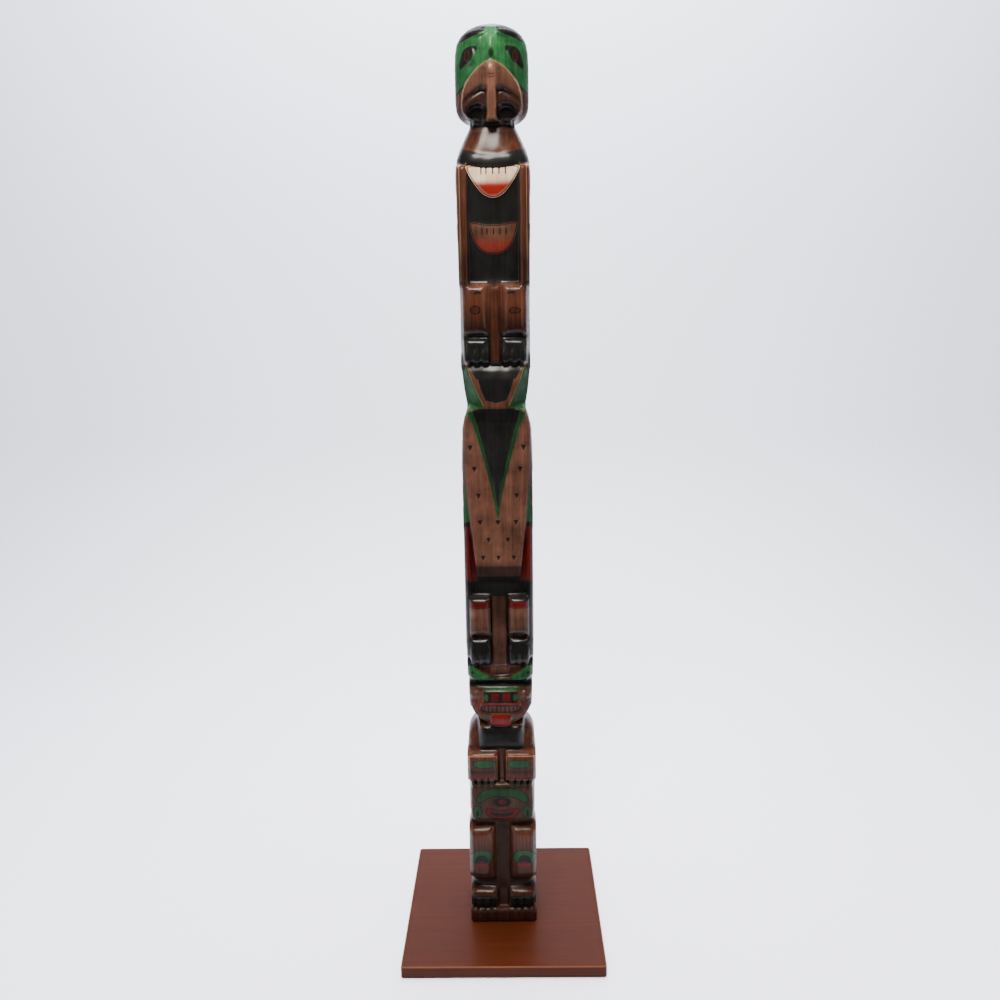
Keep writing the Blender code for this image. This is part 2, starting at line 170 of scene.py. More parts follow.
# The post: one straight-grained log of cedar, squared, hollowed at the two necks and left with
# a square foot that stands on the board; all three animals are cut from it with gouge and knife.
# Heights, widths and depths are in millimetres from the top of the foot up.
FOOT_HIGH = 0.03
FOOT_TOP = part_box("pole")[0][2] + FOOT_HIGH
LEVELS = np.array([
    # height, half width, front, back, squareness
    (-30, 69.5, 68.5, 68.5, 22), (-28.5, 70, 69, 69, 22), (-1.5, 70, 69, 69, 22), (-0.2, 69, 68, 68, 22),
    (0.4, 63, 55, 62, 5), (40, 63, 50, 63, 5), (190, 68, 50, 65, 5), (292, 69, 52, 66, 5),
    (362, 69.5, 54, 66, 5), (380, 69, 52, 65, 4), (394, 65.5, 50, 62, 3), (404, 58, 47, 58, 2.6),
    (412, 52, 45, 55, 2.4), (422, 53, 45, 56, 2.6), (436, 60, 48, 60, 3), (455, 63.5, 50, 63, 4),
    (500, 65, 52, 64, 5), (572, 67, 50, 65, 5), (693, 67, 50, 65, 5), (722, 66, 53, 65, 5),
    (1028, 65, 54, 65, 5), (1045, 62, 50, 63, 4), (1056, 57.5, 48, 60, 3.5), (1070, 57, 48, 60, 3.5),
    (1100, 62, 50, 63, 4), (1140, 66, 53, 65, 5), (1240, 65, 57, 65, 5), (1486, 67, 61, 64, 5),
    (1504, 66.5, 60, 62, 4.5), (1518, 65, 57, 58, 3.8), (1535, 60, 52, 53, 3.2), (1553, 52, 46, 48, 2.8),
    (1570, 43.5, 41, 42, 2.6), (1579, 40.5, 39, 40, 2.5), (1581, 42, 39, 41, 2.4), (1584, 50, 44, 47, 2.4),
    (1588, 57, 50, 53, 2.3), (1593, 62, 54, 57, 2.2), (1602, 66, 57, 60, 2.2), (1616, 67.5, 58, 62, 2.1),
    (1676, 67.5, 58, 63, 2.1), (1699, 66.5, 56, 61, 2), (1715, 63.5, 52, 57, 2), (1727, 57, 46, 51, 2),
    (1737, 46, 38, 42, 2), (1744, 31, 26, 29, 2), (1749, 14, 12, 13, 2), (1750, 6, 5, 6, 2),
])
# Height where each run of rows starts, and how far apart its rows lie.
SPACING = [
    (-30, 1.5), (-28.5, 9), (-1.5, 1.3), (-0.2, 0.6), (0.4, 2.4), (48, 3.2), (68, 4.5), (94, 2.7),
    (140, 4.5), (170, 3), (204, 3), (276, 2.3), (298, 3), (344, 2.6), (372, 3.3), (412, 2.4),
    (504, 2.5), (592, 3.8), (672, 2.8), (756, 3.0), (1000, 3.4), (1058, 3.2), (1116, 2.8), (1140, 2.5),
    (1196, 4), (1276, 3), (1300, 4.6), (1336, 3.6), (1408, 4.2), (1438, 3.4), (1500, 3.1), (1556, 2.6),
    (1680, 2.3), (1742, 1.6), (1750, 1),
]
# Share of the half width that the front and back columns cover, and the columns on each face.
EDGE = 0.93
FRONT_COLUMNS, SIDE_COLUMNS, BACK_COLUMNS = 104, 24, 14
# Squareness of the blocks left standing on the front, which keep the log's sawn corners.
BLOCK_SQUARENESS = 12

starts = [start for start, _ in SPACING]
heights = np.concatenate([
    np.linspace(low, high, max(1, round((high - low) / gap)), endpoint=False)
    for (low, gap), high in zip(SPACING, starts[1:])
] + [[1750.0]])
z = np.repeat(heights[:, None], FRONT_COLUMNS + 2 * SIDE_COLUMNS + BACK_COLUMNS, 1)
half, front, back, square = [
    np.interp(heights, LEVELS[:, 0], LEVELS[:, k])[:, None] for k in range(1, 5)
]


def ring_shares(power):
    """Share of the half width and share of the depth, front positive, for every column of a ring.

    The ring is a superellipse: the two shares, each raised to the power, add up to one. The front
    and back columns are evenly spaced across, and the side columns evenly spaced in depth.
    """
    power = np.broadcast_to(np.asarray(power, float), (len(heights), 1))

    def other(share):
        return np.clip(1 - np.abs(share) ** power, 0, 1) ** (1 / power)

    across = np.linspace(-EDGE, EDGE, FRONT_COLUMNS)[None] + 0 * power
    down = other(np.full((1, 1), EDGE)) * np.linspace(1, -1, SIDE_COLUMNS + 2)[None, 1:-1]
    behind = np.linspace(EDGE, -EDGE, BACK_COLUMNS)[None] + 0 * power
    wide = np.concatenate([across, other(down), behind, -other(down)], 1)
    deep = np.concatenate([other(across), down, -other(behind), -down], 1)
    return wide, deep


wide, deep = ring_shares(square)
block_wide, block_deep = ring_shares(BLOCK_SQUARENESS)
depth = np.where(deep > 0, front, back)
x = half * wide
ax = np.abs(x)
y = -depth * deep
ahead = deep > 1e-9
facing = deep > 0.2
out = x.copy()
fore = -y.copy()
# Signed distances in millimetres, positive inside, to each paint and each finely drawn outline.
PAINTS = ("black", "green", "red", "rust", "pale")
paints = {name: np.full(z.shape, -40.0) for name in PAINTS}
lines = {name: np.full(z.shape, -40.0) for name in ("dark_edge", "pale_edge")}
# How far the wood is darkened or lightened by stains, painted shade and painted highlights, the red glow laid
# on it, and the share of gloss lost.
tone = np.zeros(z.shape)
flush = np.zeros(z.shape)
dullness = np.zeros(z.shape)
# Distance back from the axis that takes in the whole ring.
ALL_ROUND = 90

# The bear's feet, legs and belly: blocks left standing at each side and rounded over like
# cushions, the toes parted by knife cuts, and a painted panel on the belly between hands and knees.


def smooth(signed, soft):
    """Share from 0 outside to 1 inside of an outline, easing over a band of the given width."""
    t = np.clip(signed / soft + 0.5, 0, 1)
    return t * t * (3 - 2 * t)


def between(value, low, high):
    """Signed distance to a band, positive between its two limits."""
    return np.minimum(value - low, high - value)


def table(rows, column=1):
    """Value at every height of a column of a table whose first column is height."""
    rows = np.array(sorted(rows), float)
    return np.interp(z, rows[:, 0], rows[:, column])


def outline(points, u=None, v=None, rounds=2):
    """Signed distance to a closed outline, positive inside; u and v are |x| and z if not given.

    A run that starts and ends on the middle line is closed with its mirror image. Each round
    cuts every corner at a quarter of its two edges, which rounds the outline. The
    nearest edge then gives the distance, and the number of edges crossed gives the side.
    """
    u = ax if u is None else u
    v = z if v is None else v
    points = np.array(points, float)
    if points[0, 0] == 0 and points[-1, 0] == 0:
        points = np.concatenate([points, points[-2:0:-1] * (-1, 1)])
    for _ in range(rounds):
        after = np.roll(points, -1, 0)
        points = np.stack([0.75 * points + 0.25 * after, 0.25 * points + 0.75 * after], 1).reshape(-1, 2)
    nearest = np.full(u.shape, 1e9)
    inside = np.zeros(u.shape, bool)
    for (u0, v0), (u1, v1) in zip(points, np.roll(points, -1, 0)):
        du, dv = u1 - u0, v1 - v0
        t = np.clip(((u - u0) * du + (v - v0) * dv) / (du * du + dv * dv), 0, 1)
        nearest = np.minimum(nearest, (u - u0 - t * du) ** 2 + (v - v0 - t * dv) ** 2)
        if dv:
            inside ^= ((v0 > v) != (v1 > v)) & (u < u0 + (v - v0) * du / dv)
    return np.sqrt(nearest) * np.where(inside, 1, -1)


def stroke(points, width, u=None, v=None):
    """Signed distance to a stroke of a given width along an open run of points."""
    u = ax if u is None else u
    v = z if v is None else v
    nearest = np.full(u.shape, 1e9)
    for (u0, v0), (u1, v1) in zip(points[:-1], points[1:]):
        du, dv = u1 - u0, v1 - v0
        t = np.clip(((u - u0) * du + (v - v0) * dv) / (du * du + dv * dv), 0, 1)
        nearest = np.minimum(nearest, (u - u0 - t * du) ** 2 + (v - v0 - t * dv) ** 2)
    return width / 2 - np.sqrt(nearest)


def leave(signed, stand, soft=3.6, half_width=None, pillow=0.0, over=12.0):
    """Wood left standing inside an outline, out to a given distance from the axis.

    Near the outline and the pole's corners it is rounded over, by pillow at the very edge.
    """
    global out, fore
    m = smooth(signed, soft) * ahead
    wide_to = half if half_width is None else half_width
    stand = stand - pillow * np.clip(1 - np.minimum(signed, wide_to + 3 - ax) / over, 0, 1) ** 2
    out = out + m * (wide_to * block_wide - out)
    fore = fore + m * (np.maximum(fore, stand * block_deep) - fore)


def sink(signed, amount, soft=3.0):
    """Wood cut away inside an outline to a given amount below what stands there."""
    global fore
    fore = fore - smooth(signed, soft) * amount * (deep > 0.35)


def colour_in(name, signed, wrap=0.0):
    """Paints inside an outline, over what was there; wrap says how far back round the sides it goes."""
    signed = np.minimum(signed, wrap - y)
    for other in PAINTS:
        if other == name:
            paints[other] = np.maximum(paints[other], signed)
        else:
            paints[other] = np.minimum(paints[other], -signed)


def draw(name, signed):
    """Adds an outline to those whose rim is drawn as a fine line, where the distance passes zero."""
    lines[name] = np.maximum(lines[name], signed)


def stain_and_painted_light(signed, value, soft=4.0, wrap=0.0):
    """Darkens (negative) or lightens (positive) inside an outline; it lays both stains and painted shade and
    highlights.
    """
    global tone
    m = smooth(np.minimum(signed, wrap - y), soft)
    tone = tone + m * (value - tone)


def dull(signed, share, soft=8.0, wrap=ALL_ROUND):
    """Takes a share of the gloss away inside an outline."""
    global dullness
    m = smooth(np.minimum(signed, wrap - y), soft)
    dullness = dullness + m * (share - dullness)


stain_and_painted_light(between(z, -31, 0.2), -0.3, wrap=80)
stain_and_painted_light(between(z, 0, 290), -0.15, wrap=ALL_ROUND)
toe_run = table([(0, 66.5), (5, 69), (26, 69), (36, 65), (42, 60), (46, 53)])
leave(np.minimum(ax - 11, between(z, 0.6, 45)), toe_run, half_width=69, pillow=6, over=12)
for cut in (25.5, 40, 54.5):
    sink(stroke([(cut, 0), (cut, 22)], 3.4), 3.2, soft=2.6)
colour_in("black", np.minimum(ax - 10.5, between(z, 0.8, 30)), wrap=30)
stain_and_painted_light(np.minimum(ax - 10, between(z, 30, 47)), -0.25)
# Painted shade in the recess at the ankles, between the feet and the legs.
stain_and_painted_light(between(z, 45, 69), -0.9, wrap=40)

leave(np.minimum(ax - 15, between(z, 66, 189)), 70, soft=4.5, half_width=70, pillow=15, over=20)
# Painted highlight on the tops of the legs; they are darker low down.
stain_and_painted_light(np.minimum(ax - 15, between(z, 150, 190)), 0.3, soft=26)
stain_and_painted_light(np.minimum(ax - 15, between(z, 60, 100)), -0.35, soft=26)
colour_in("rust", np.minimum(14 - ax, between(z, 1, 190)))
stain_and_painted_light(np.minimum(14 - ax, between(z, 1, 190)), -0.6)
arch = outline([(20, 109), (20, 124), (28, 137), (42, 138), (56, 137), (64, 124), (64, 109)])
arch_in = outline([(29, 104), (29, 119), (36, 127), (48, 127), (55, 119), (55, 104)])
colour_in("green", np.minimum(np.minimum(arch, -arch_in), z - 110))
stain_and_painted_light(np.minimum(arch, z - 110), -0.4)
colour_in("black", np.minimum(arch_in, z - 110))
colour_in("red", outline([(31, 97), (31, 106), (36, 112), (48, 112), (53, 106), (53, 97)]))
draw("dark_edge", arch)

belly = outline([(0, 289), (60, 289), (66, 284), (66, 212), (60, 204), (50, 201), (0, 201)], rounds=1)
leave(belly, 67.5, half_width=69.5, pillow=7, over=14)
colour_in("rust", belly)
stain_and_painted_light(belly, -0.45)
draw("pale_edge", belly - 3)
dull(between(z, -31, 520), 0.3, soft=60)
dull(np.minimum(14 - ax, between(z, 1, 200)), 0.75)
dull(belly, 0.6)

# Belly panel: a broad arched form over an eye-like oval, a crescent below and a split form at
# each side, laid out in formline manner, thinly painted and edged with a fine dark line.


def oval(cu, cv, ru, rv, u=None, v=None):
    """Signed distance, near the rim, to an oval."""
    u = ax if u is None else u
    v = z if v is None else v
    return (1 - np.hypot((u - cu) / ru, (v - cv) / rv)) * min(ru, rv)


arch_form = outline([(0, 280), (30, 279), (50, 266), (55, 248), (42, 246), (32, 256), (18, 261), (0, 262)])
colour_in("green", arch_form)
stain_and_painted_light(arch_form, -0.5)
draw("dark_edge", arch_form)
oval_form = oval(0, 248, 15, 8.5)
colour_in("black", oval_form)
colour_in("red", oval_form - 3.4)
draw("dark_edge", oval_form + 1)
crescent = outline([(0, 229), (12, 230), (30, 236), (36, 228), (28, 214), (10, 209), (0, 209)])
colour_in("red", crescent)
colour_in("black", outline([(0, 222), (10, 223), (24, 228), (22, 220), (8, 215), (0, 215)]))
draw("dark_edge", crescent)
split_form = outline([(43, 214), (42, 236), (50, 241), (59, 236), (59, 214), (51, 210)])
colour_in("green", split_form)
stain_and_painted_light(split_form, -0.5)
colour_in("black", outline([(48.5, 214), (48.5, 230), (53.5, 230), (53.5, 214)], rounds=1))
draw("dark_edge", split_form)

# The bear's arms and hands: rounded blocks folded over the belly with the claws hanging over its
# top edge, and above them the shoulders and a swelling dark throat that the chin rests on.
leave(np.minimum(ax - 6, between(z, 291, 358)), 70, half_width=71, pillow=11, over=15)
for claw in (15, 28, 41, 54):
    talon = outline([
        (claw, 297), (claw + 11, 297), (claw + 9.5, 285), (claw + 5.5, 279), (claw + 1.5, 285),
    ])
    leave(talon, 68, soft=3)
    colour_in("black", np.minimum(talon, 295 - z))
    sink(stroke([(claw + 12, 298), (claw + 12, 312)], 3), 1.6, soft=2.6)
# Painted highlight along the tops of the arms; their lower part is darker.
stain_and_painted_light(np.minimum(ax - 6, between(z, 342, 360)), 0.5, soft=12)
stain_and_painted_light(np.minimum(ax - 6, between(z, 290, 322)), -0.35, soft=10)
hand = outline([(11, 333), (17, 341.5), (51, 341.5), (59, 334), (51, 325.5), (17, 325.5)])
colour_in("green", hand)
stain_and_painted_light(hand, -0.35)
draw("dark_edge", hand)
# A pale line round the arms' edges, a painted highlight on their rounded rims.
draw("pale_edge", np.minimum(between(ax, 9.5, 65), between(z, 298, 350)))
colour_in("red", np.minimum(between(ax, 13, 62), between(z, 303, 311)))
colour_in("black", stroke([(12, 316), (62, 316)], 2.6))

leave(np.minimum(46 - ax, between(z, 360, 417)), 64, soft=5, pillow=13, over=17)
colour_in("black", np.minimum(45 - ax, between(z, 361, 420)))
dull(np.minimum(40 - ax, between(z, 364, 405)), 0.5)
stain_and_painted_light(np.minimum(ax - 46, between(z, 358, 410)), 0.1, wrap=30)

# The bear's head: brow, snout and jaw in one rounded block over the throat, with red nostrils, a
# row of stained teeth between red lips, and the tongue hanging over the chin.


def bulge(cu, cv, ru, rv, u=None):
    """Share from 0 at the rim to 1 at the middle of a dome, round like a ball."""
    u = ax if u is None else u
    return np.sqrt(np.clip(1 - ((u - cu) / ru) ** 2 - ((z - cv) / rv) ** 2, 0, 1))


# Height, half width and distance from the axis of the head's front.
HEAD = [
    (530, 65, 50), (504, 64, 56), (499, 66, 62), (484, 66.5, 66), (466, 65, 66),
    (451, 60, 65), (441, 54, 64), (431, 46, 61), (422, 34, 57), (415, 22, 53),
]
bear_half, bear_run = table(HEAD, 1), table(HEAD, 2)
bear_face = np.minimum(bear_half - ax, between(z, 414, 503))
cheeks_back = 8 * np.clip(ax / 66, 0, 1) ** 3
leave(np.where(bear_half > 62, between(z, 414, 503), bear_face), bear_run - cheeks_back, soft=4)
rim = outline([
    (0, 519), (14, 520), (28, 524), (42, 532), (54, 543), (62, 553), (72, 557), (72, 512), (0, 512),
], rounds=1)
leave(rim, 63 - 0.4 * cheeks_back, soft=3.4, pillow=3, over=7)
leave(np.minimum(33 - ax, between(z, 466, 492)), 68.8 - 1.5 * (ax / 33) ** 2, soft=3.4)
leave(np.minimum(between(z, 460, 469), 39 - ax), 68, soft=3)
sink(outline([(0, 461), (40, 462), (43, 452), (34, 443), (0, 443)], rounds=1), 2.6)
tongue = outline([(0, 441), (18, 441), (21, 432), (21.5, 418), (17, 414), (0, 413.5)], rounds=1)
leave(tongue, table([(412, 60), (420, 65), (434, 67), (439, 66), (443, 62)]), soft=3.2)
fore = fore + 5 * bulge(52, 484, 12, 9) * ahead

colour_in("rust", between(z, 413, 503), wrap=60)
stain_and_painted_light(np.minimum(between(z, 413, 503), ax - 20), -0.25, soft=20, wrap=60)
colour_in("green", rim, wrap=20)
stain_and_painted_light(np.minimum(26 - ax, between(z, 508, 526)), -1.2, soft=16)
stain_and_painted_light(np.minimum(ax - 26, rim), -0.3, soft=14)
stain_and_painted_light(np.minimum(ax - 44, rim), -0.4, soft=14)
colour_in("black", oval(56, 530, 3.2, 3.2))
colour_in("rust", np.minimum(19 - ax, between(z, 519, 545)))
colour_in("black", between(z, 499, 512.5), wrap=60)
colour_in("green", np.minimum(between(z, 493, 499), 36 - ax))
stain_and_painted_light(between(z, 492, 500), -0.45)
colour_in("black", np.minimum(34 - ax, between(z, 468, 490.5)))
nostril = outline([(4, 472), (4, 487.5), (19, 487.5), (19, 472)], rounds=0)
colour_in("red", nostril)
stain_and_painted_light(nostril, -0.45)
colour_in("green", oval(28.5, 479, 3.6, 8))
stain_and_painted_light(oval(28.5, 479, 3.6, 8), -0.4)
colour_in("red", np.minimum(between(z, 461.5, 468), 39 - ax))
mouth = outline([(0, 470), (30, 469), (42, 470), (46, 462), (45, 448), (36, 439), (0, 437)], rounds=1)
teeth = outline([(0, 461), (38, 461), (41, 452), (33, 445), (0, 445)], rounds=1)
colour_in("red", np.minimum(np.minimum(mouth, 2.2 - mouth), ax - 33))
stain_and_painted_light(teeth, -0.35)
draw("dark_edge", np.minimum(teeth, ax + 5))
for tooth in (0, 8.5, 17, 25.5, 33):
    colour_in("black", np.minimum(stroke([(tooth, 462), (tooth, 443)], 1.7), teeth))
colour_in("red", tongue)
stain_and_painted_light(tongue, -0.05)
swirl = oval(54, 466, 8, 13)
colour_in("red", np.minimum(swirl, 1.8 - swirl))
colour_in("black", np.minimum(swirl - 3, 4.2 - swirl))
colour_in("red", oval(54, 468, 2.6, 5))

# The raven's tail, feet and legs: two rounded blocks hung between the wing ends, each with three
# hooked toes, standing in the hollow bowl of the bear's brow.


def hooked_toes(places, low, high, half_rows, run_rows, breadth, drop):
    """Toes left standing side by side, arched across and hooked over at the tip.

    By height, the first rows give a toe's half width and the next its distance from the axis.
    A toe falls away by drop at the given breadth from its own middle.
    """
    toe_half, toe_run = table(half_rows), table(run_rows)
    for toe in places:
        aside = np.abs(ax - toe)
        arched = toe_run - drop * np.clip(aside / breadth, 0, 1) ** 2
        leave(np.minimum(toe_half - aside, between(z, low, high)), arched, soft=3)


tail_run = table([(540, 58), (640, 60), (690, 50)])
leave(np.minimum(15 - ax, between(z, 540, 688)), tail_run, soft=4, pillow=3, over=6)
leave(np.minimum(between(ax, 17, 60), between(z, 608, 690)), 69, soft=5, pillow=11, over=15)
leave(np.minimum(between(ax, 18, 60), between(z, 546, 602)), 64, soft=4, pillow=8, over=13)
hooked_toes((24, 38, 52), 543, 592, [(545, 4.5), (552, 6.6), (562, 7), (592, 7)],
            [(543, 57), (548, 61), (558, 65), (572, 66), (582, 64.5), (592, 58)], 7, 5)
leave(np.minimum(ax - 60, between(z, 556, 636)), 50, soft=9, half_width=68.4, pillow=6, over=12)
colour_in("black", between(z, 544, 690), wrap=-10)
colour_in("rust", np.minimum(between(ax, 18, 59), between(z, 600, 668)))
# Painted shade low on the legs towards the ankles, and a painted highlight high on them.
stain_and_painted_light(np.minimum(between(ax, 18, 59), between(z, 600, 625)), -0.8, soft=24)
stain_and_painted_light(np.minimum(between(ax, 18, 59), between(z, 648, 668)), 0.3, soft=14)
colour_in("red", np.minimum(between(ax, 19, 58), between(z, 669, 681)))
stain_and_painted_light(np.minimum(between(ax, 19, 58), between(z, 669, 690)), -0.62)
colour_in("black", np.minimum(between(ax, 17, 60), between(z, 665.4, 668.4)))
colour_in("rust", np.minimum(14.5 - ax, between(z, 520, 690)))
stain_and_painted_light(np.minimum(15 - ax, between(z, 545, 690)), -0.4)
# Painted shade at the top of the tail, under the breast.
stain_and_painted_light(np.minimum(15 - ax, between(z, 640, 700)), -1.0, soft=50)
stain_and_painted_light(np.minimum(ax - 18, between(z, 540, 600)), -0.3)
# Painted shadow: the band under the raven's breast is painted black.
colour_in("black", between(z, 688, 718), wrap=10)

# The raven's breast and wings: a shield standing forward between the folded wings, set with
# small notches for feathers, its foot cut back in a slope to a dark ledge.
shield_half = table([
    (716, 43), (727, 45), (752, 46), (826, 53.5), (885, 58.5), (960, 64), (1040, 65), (1054, 60), (1068, 51),
])
shield_run = table([(712, 50), (717, 51), (752, 62), (1060, 62), (1070, 58)])
leave(np.minimum(ax - 54, between(z, 560, 1032)), 57, soft=5, half_width=67.5)
leave(np.minimum(shield_half - ax, between(z, 714, 1068)), shield_run, soft=3.8, pillow=2, over=6)
stain_and_painted_light(between(z, 690, 1060), -0.1, wrap=ALL_ROUND)
# Painted highlight: the middle of the breast is lighter.
stain_and_painted_light(np.minimum(58 - ax, between(z, 760, 1020)), 0.2, soft=60)
outside = ax - shield_half + 0.4
colour_in("green", np.minimum(outside, between(z, 841, 1000)), wrap=-16)
colour_in("red", np.minimum(outside, between(z, 723, 830)), wrap=-16)
stain_and_painted_light(np.minimum(outside, between(z, 700, 1000)), -0.62, soft=3)
colour_in("black", np.minimum(outside, between(z, 832, 839)), wrap=-16)
colour_in("rust", np.minimum(shield_half - ax - 0.6, between(z, 752, 1062)))
colour_in("rust", np.minimum(shield_half - ax + 1, between(z, 730, 752)))
# Painted shade: the sloped foot of the breast is darkened and the ledge under it painted black.
stain_and_painted_light(np.minimum(shield_half - ax + 1, between(z, 716, 752)), -0.8, soft=5)
dull(np.minimum(shield_half - ax + 1, between(z, 714, 752)), 0.9, soft=4)
ledge = outline([(0, 729), (44, 729), (37, 717), (0, 717)], rounds=0)
colour_in("black", ledge)
# Height and distance from the middle of each pair of feather notches.
NOTCHES = [(988, 51), (946, 44), (894, 37), (841, 35), (841, 0), (806, 19), (770, 30), (770, 0)]
for height, across in NOTCHES:
    chip = outline([(across - 5.5, height + 4), (across + 5.5, height + 4), (across, height - 7)], rounds=0)
    sink(chip + 0.6, 2.2, soft=3.4)
    colour_in("black", chip - 0.3)

# The raven's head: a forehead sloping forward under a bright bevel, with the long straight bill
# laid down the breast, its keel standing proud of two lips.


def swell(stand, where=True):
    """Wood left standing to a given distance from the axis, on the front only."""
    global fore
    fore = np.where(ahead & where, np.maximum(fore, stand), fore)


# Height, then how far across and how far forward the brow stands, and the same of the cheek.
FACE = [(1149, 46, 49, 66, 24), (1143, 55, 55, 67, 26), (1132, 54, 61, 67, 28), (1117, 47, 66, 66, 30),
        (1102, 41, 67, 65, 30), (1087, 34, 67, 62, 31), (1071, 27, 68, 58, 32), (1058, 21, 68, 56, 34),
        (1046, 16, 68, 53, 38), (1038, 12, 65, 48, 44)]
brow_x, brow_y, cheek_x, cheek_y = [table(FACE, k) for k in range(1, 5)]
slope = np.clip((ax - brow_x) / np.maximum(cheek_x - brow_x, 1), 0, 1)
face_run = brow_y + slope * (cheek_y - brow_y)
face = np.minimum(cheek_x + 1 - ax, between(z, 1036, 1149))
swell(smooth(face, 5) * face_run, wide ** 2 < 0.99)
bill_t = np.clip((z - 852) / 210, 0, 1)
bill_half = 52 * bill_t ** 1.25 + 2
bill = np.minimum(bill_half - ax, between(z, 850, 1062))
leave(bill, 63 + 3 * bill_t, soft=3.4)
keel_half = 19 * bill_t + 1
keel = np.minimum(keel_half - ax, between(z, 852, 1068))
leave(keel, 66.5 + 2.4 * bill_t - 2 * (ax / np.maximum(keel_half, 2)) ** 2, soft=5)
sink(np.minimum(3 - np.abs(ax - 0.5 * (bill_half + keel_half)), bill), 1.6, soft=5)
swell(27 + 22 * bulge(59, 1150, 11, 22), bulge(59, 1150, 11, 22) > 0)

colour_in("green", np.minimum(face, 1140 - z), wrap=-8)
stain_and_painted_light(np.minimum(face, 1140 - z), -0.55, wrap=-8)
dull(np.minimum(np.minimum(face, 1142 - z), ax - 24), 0.7, soft=5)
face_front = outline([
    (0, 1149), (57, 1149), (43, 1110), (30, 1080), (21, 1060), (17, 1040), (0, 1040),
], rounds=0)
colour_in("rust", face_front)
stain_and_painted_light(outline([(0, 1149), (58, 1149), (30, 1080), (17, 1040), (0, 1040)], rounds=0), -0.2)
colour_in("black", np.minimum(53 - ax - 0.5 * (1149 - z), between(z, 1118, 1150)))
colour_in("black", outline([(0, 1117), (33, 1117), (26, 1092), (19, 1078), (0, 1073)], rounds=0))
ridge = outline([
    (0, 1180), (68, 1180), (58, 1149), (44, 1112), (31, 1082), (21, 1062), (17, 1042), (0, 1040),
], rounds=0)
draw("pale_edge", np.minimum(ridge, 30 * between(z, 1066, 1148)))
colour_in("black", bill)
lip_wide = 3.5 + 5 * bill_t
colour_in("green", np.minimum(bill, lip_wide - (bill_half - ax)))
stain_and_painted_light(np.minimum(bill, lip_wide - (bill_half - ax)), -0.75, soft=3)

# The eagle's tail, feet and legs: the dark toes are hooked over the raven's brow, and the thighs
# stand as rounded blocks under the wings, with a painted highlight at the knee and painted shade at the ankle.
leave(np.minimum(9.5 - ax, between(z, 1146, 1286)), 61, soft=3.4, pillow=2, over=5)
stain_and_painted_light(np.minimum(10 - ax, between(z, 1146, 1286)), -0.3)
leave(np.minimum(between(ax, 10, 61), between(z, 1197, 1294)), 69.8, pillow=13, over=18)
leave(np.minimum(between(ax, 11, 61), between(z, 1147, 1194)), 66, soft=4, pillow=9, over=13)
hooked_toes((19, 35, 51), 1145, 1194, [(1145, 4.5), (1150, 7), (1162, 8), (1193, 8)],
            [(1144, 61), (1150, 66), (1160, 68.5), (1170, 68.5), (1182, 65), (1194, 57)], 7.6, 4.5)
colour_in("black", np.minimum(ax - 9.5, between(z, 1149, 1203)), wrap=-30)
# Painted highlight on the tops of the thighs and painted shade above the feet.
stain_and_painted_light(np.minimum(ax - 10, between(z, 1256, 1296)), 0.75, soft=36)
stain_and_painted_light(np.minimum(ax - 10, between(z, 1199, 1228)), -0.85, soft=36)
colour_in("black", outline([(20, 1271), (26, 1279), (36, 1279), (42, 1271), (31, 1275)], rounds=1))
left_eye = oval(-36, 1245, 9, 7, u=x)
right_eye = outline([(27, 1239), (27, 1248), (48, 1248), (48, 1239)], u=x, rounds=1)
draw("dark_edge", left_eye)
draw("dark_edge", right_eye)
stain_and_painted_light(np.maximum(left_eye, right_eye), -0.4, soft=3)
sink(1.6 - np.abs(left_eye), 0.9, soft=2.6)

# The eagle's chest between the folded wings: two bibs one above the other on black, the upper pale at the top,
# partly a painted highlight, and the lower brown, each flushed red below, with feather ticks; the wings' front
# edges are brown.
WING_IN = 47
leave(np.minimum(ax - WING_IN, between(z, 1286, 1502)), 65.5, soft=3.4, pillow=5, over=8)
sink(np.minimum(WING_IN - ax, between(z, 1296, 1498)), 2.0, soft=4)
colour_in("black", np.minimum(WING_IN + 0.6 - ax, between(z, 1293, 1500)))
# Painted shade low on the wings' front edges and a painted highlight near the shoulders.
stain_and_painted_light(np.minimum(ax - WING_IN, between(z, 1286, 1340)), -1.0, soft=70)
stain_and_painted_light(np.minimum(ax - WING_IN, between(z, 1440, 1500)), 0.3, soft=30)
bib = outline([
    (0, 1496), (51, 1502), (46, 1488), (39, 1476), (31, 1464), (20, 1451), (8, 1444.5), (0, 1443.5),
], rounds=1)
leave(np.minimum(bib, 48 - ax), 62.5 - 4 * (ax / 50) ** 2, soft=3.4, pillow=1.5, over=6)
# The pale top of the upper bib is partly a painted highlight.
colour_in("pale", bib)
flush = np.maximum(flush, smooth(np.minimum(bib, 1471 - z), 14))
draw("dark_edge", bib - 2)
bib_low = outline([
    (0, 1395), (45, 1404), (43, 1390), (39, 1374), (33, 1362), (23, 1351), (10, 1345.5), (0, 1345),
], rounds=1)
leave(bib_low, 60.2 - 4 * (ax / 50) ** 2, soft=5, pillow=1.5, over=8)
colour_in("rust", bib_low)
stain_and_painted_light(bib_low, -0.2)
flush = np.maximum(flush, 0.55 * smooth(np.minimum(bib_low, 1370 - z), 22))
draw("dark_edge", bib_low - 1.8)
draw("pale_edge", np.minimum(1394.5 + 9 * (ax / 45) ** 2 - z, 30 * bib_low - 30))
for tick in (-21, -12, 0, 11.5, 23):
    for low, high in ((1484, 1494), (1380, 1390)):
        colour_in("black", stroke([(tick, low), (tick, high)], 2.0, u=x))
draw("pale_edge", np.minimum(61 - ax, 30 * between(z, 1296, 1500)))

